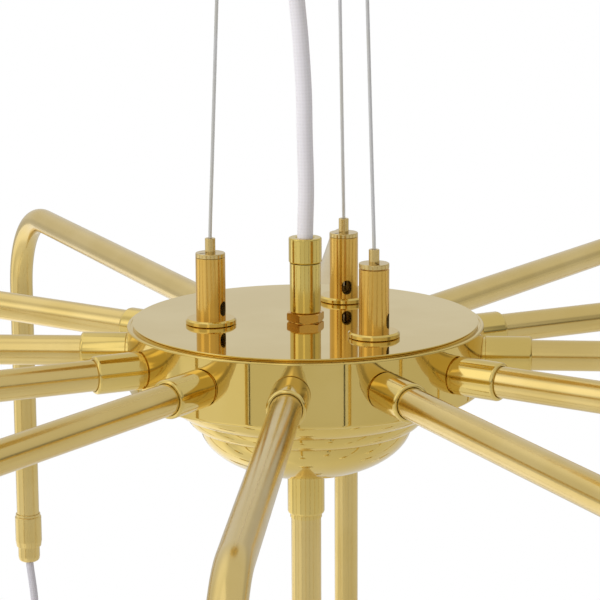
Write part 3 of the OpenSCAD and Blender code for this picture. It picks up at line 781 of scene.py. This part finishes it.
def make_world():
    """A pale room of soft lights, seen in reflections. The camera sees plain white behind the object."""
    world = bpy.data.worlds.new("studio")
    bpy.context.scene.world = world
    world.use_nodes = True
    tree = world.node_tree
    way = node(tree, "TexCoord").outputs["Generated"]
    parts = node(tree, "SeparateXYZ", {"Vector": way})
    elevation = maths(tree, "DEGREES", maths(tree, "ARCSINE", parts.outputs["Z"]))
    light = ROOM
    for azimuth, height, half_w, half_h, soft, brightness in SOFTBOXES:
        c, s = math.cos(math.radians(azimuth)), math.sin(math.radians(azimuth))
        ahead = node(tree, "VectorMath", {0: way, 1: (c, s, 0)}, operation="DOT_PRODUCT").outputs["Value"]
        aside = node(tree, "VectorMath", {0: way, 1: (-s, c, 0)}, operation="DOT_PRODUCT").outputs["Value"]
        off = maths(tree, "DEGREES", maths(tree, "ABSOLUTE", maths(tree, "ARCTAN2", aside, ahead)))
        rise = maths(tree, "ABSOLUTE", maths(tree, "SUBTRACT", elevation, height))
        share = maths(tree, "MULTIPLY", ramp(tree, off, half_w - soft / 2, half_w + soft / 2, 1, 0),
                      ramp(tree, rise, half_h - soft / 2, half_h + soft / 2, 1, 0))
        light = blend_value(tree, share, light, brightness)
    seen = node(tree, "LightPath").outputs["Is Camera Ray"]
    light = blend_value(tree, seen, light, 1.0)
    colour = node(tree, "CombineColor", {"Red": light, "Green": light, "Blue": light})
    background = tree.nodes["Background"]
    tree.links.new(colour.outputs["Color"], background.inputs["Color"])


def make_floor():
    """A pale floor that ends behind the object, before the camera would see it.

    It glows a little: most at the back left, and in front as far right as the left light stand.
    """
    half, back = 30.0, 3.5
    mesh = bpy.data.meshes.new("studio_floor")
    corners = [(-half, -half), (half, -half), (half, back), (-half, back)]
    mesh.from_pydata([(x, y, FLOOR_Z) for x, y in corners], [], [(0, 1, 2, 3)])
    floor = bpy.data.objects.new("studio_floor", mesh)
    bpy.context.scene.collection.objects.link(floor)
    mat, tree, shader = new_material("pale_floor")
    parts = node(tree, "SeparateXYZ", {"Vector": node(tree, "TexCoord").outputs["Object"]})
    x, y = parts.outputs["X"], parts.outputs["Y"]
    a = math.radians(STANDS[0])
    aside = maths(tree, "SUBTRACT", maths(tree, "MULTIPLY", x, -math.sin(a)),
                  maths(tree, "MULTIPLY", y, -math.cos(a)))
    front = maths(tree, "MULTIPLY", ramp(tree, aside, -0.06, 0.06, 0.24, 0.0),
                  ramp(tree, y, -0.6, 0.0, 1.0, 0.0))
    left = maths(tree, "MULTIPLY", ramp(tree, x, -0.7, -0.1, 1.0, 0.0), ramp(tree, y, 0.3, 0.9, 0.05, 0.42))
    glow = maths(tree, "ADD", maths(tree, "MAXIMUM", front, left), ramp(tree, y, -0.6, 0.1, 0.0, 0.05))
    shader.inputs["Base Color"].default_value = (0.8, 0.8, 0.8, 1)
    shader.inputs["Roughness"].default_value = 0.9
    shader.inputs["Specular IOR Level"].default_value = 0
    shader.inputs["Emission Color"].default_value = (1, 1, 1, 1)
    tree.links.new(glow, shader.inputs["Emission Strength"])
    mesh.materials.append(mat)


def make_light_stands():
    """Two dark stands behind the camera, which the drum reflects as thin lines."""
    mat, _, shader = new_material("dark_stand")
    shader.inputs["Base Color"].default_value = (0.01, 0.01, 0.01, 1)
    low, high, radius, distance = FLOOR_Z / MM, 100, 20, 2500
    for i, azimuth in enumerate(STANDS):
        a = math.radians(azimuth)
        place = shift(distance * math.cos(a), distance * math.sin(a), 0)
        pole = lathe([(0, low), (radius, low), (radius, high), (0, high)], 16, place)
        stand = mesh_object(f"light_stand_{i + 1}", [pole])
        stand.data.materials.append(mat)
        stand.visible_camera = False


def make_side_light():
    """A broad soft light on the left that is too soft to show in the metal."""
    data = bpy.data.lights.new("side_light", "AREA")
    data.shape, data.size, data.energy = "DISK", 1.6, 22
    light = bpy.data.objects.new("side_light", data)
    a, distance, height = math.radians(-150), 2.3, 0.7
    place = Vector((distance * math.cos(a), distance * math.sin(a), height))
    turn = (Vector((0, 0, -0.15)) - place).to_track_quat("-Z", "Y").to_matrix().to_4x4()
    light.matrix_world = Matrix.Translation(place) @ turn
    light.visible_glossy = False
    light.visible_camera = False
    bpy.context.scene.collection.objects.link(light)


make_camera()
make_cords()
make_plate()
make_drum()
make_bowl()
make_tubes()
make_grippers()
make_gland()
make_lamps()
make_canopy()
dress_cad_nodes()
bpy.context.scene.view_settings.view_transform = "Standard"
make_world()
make_floor()
make_light_stands()
make_side_light()
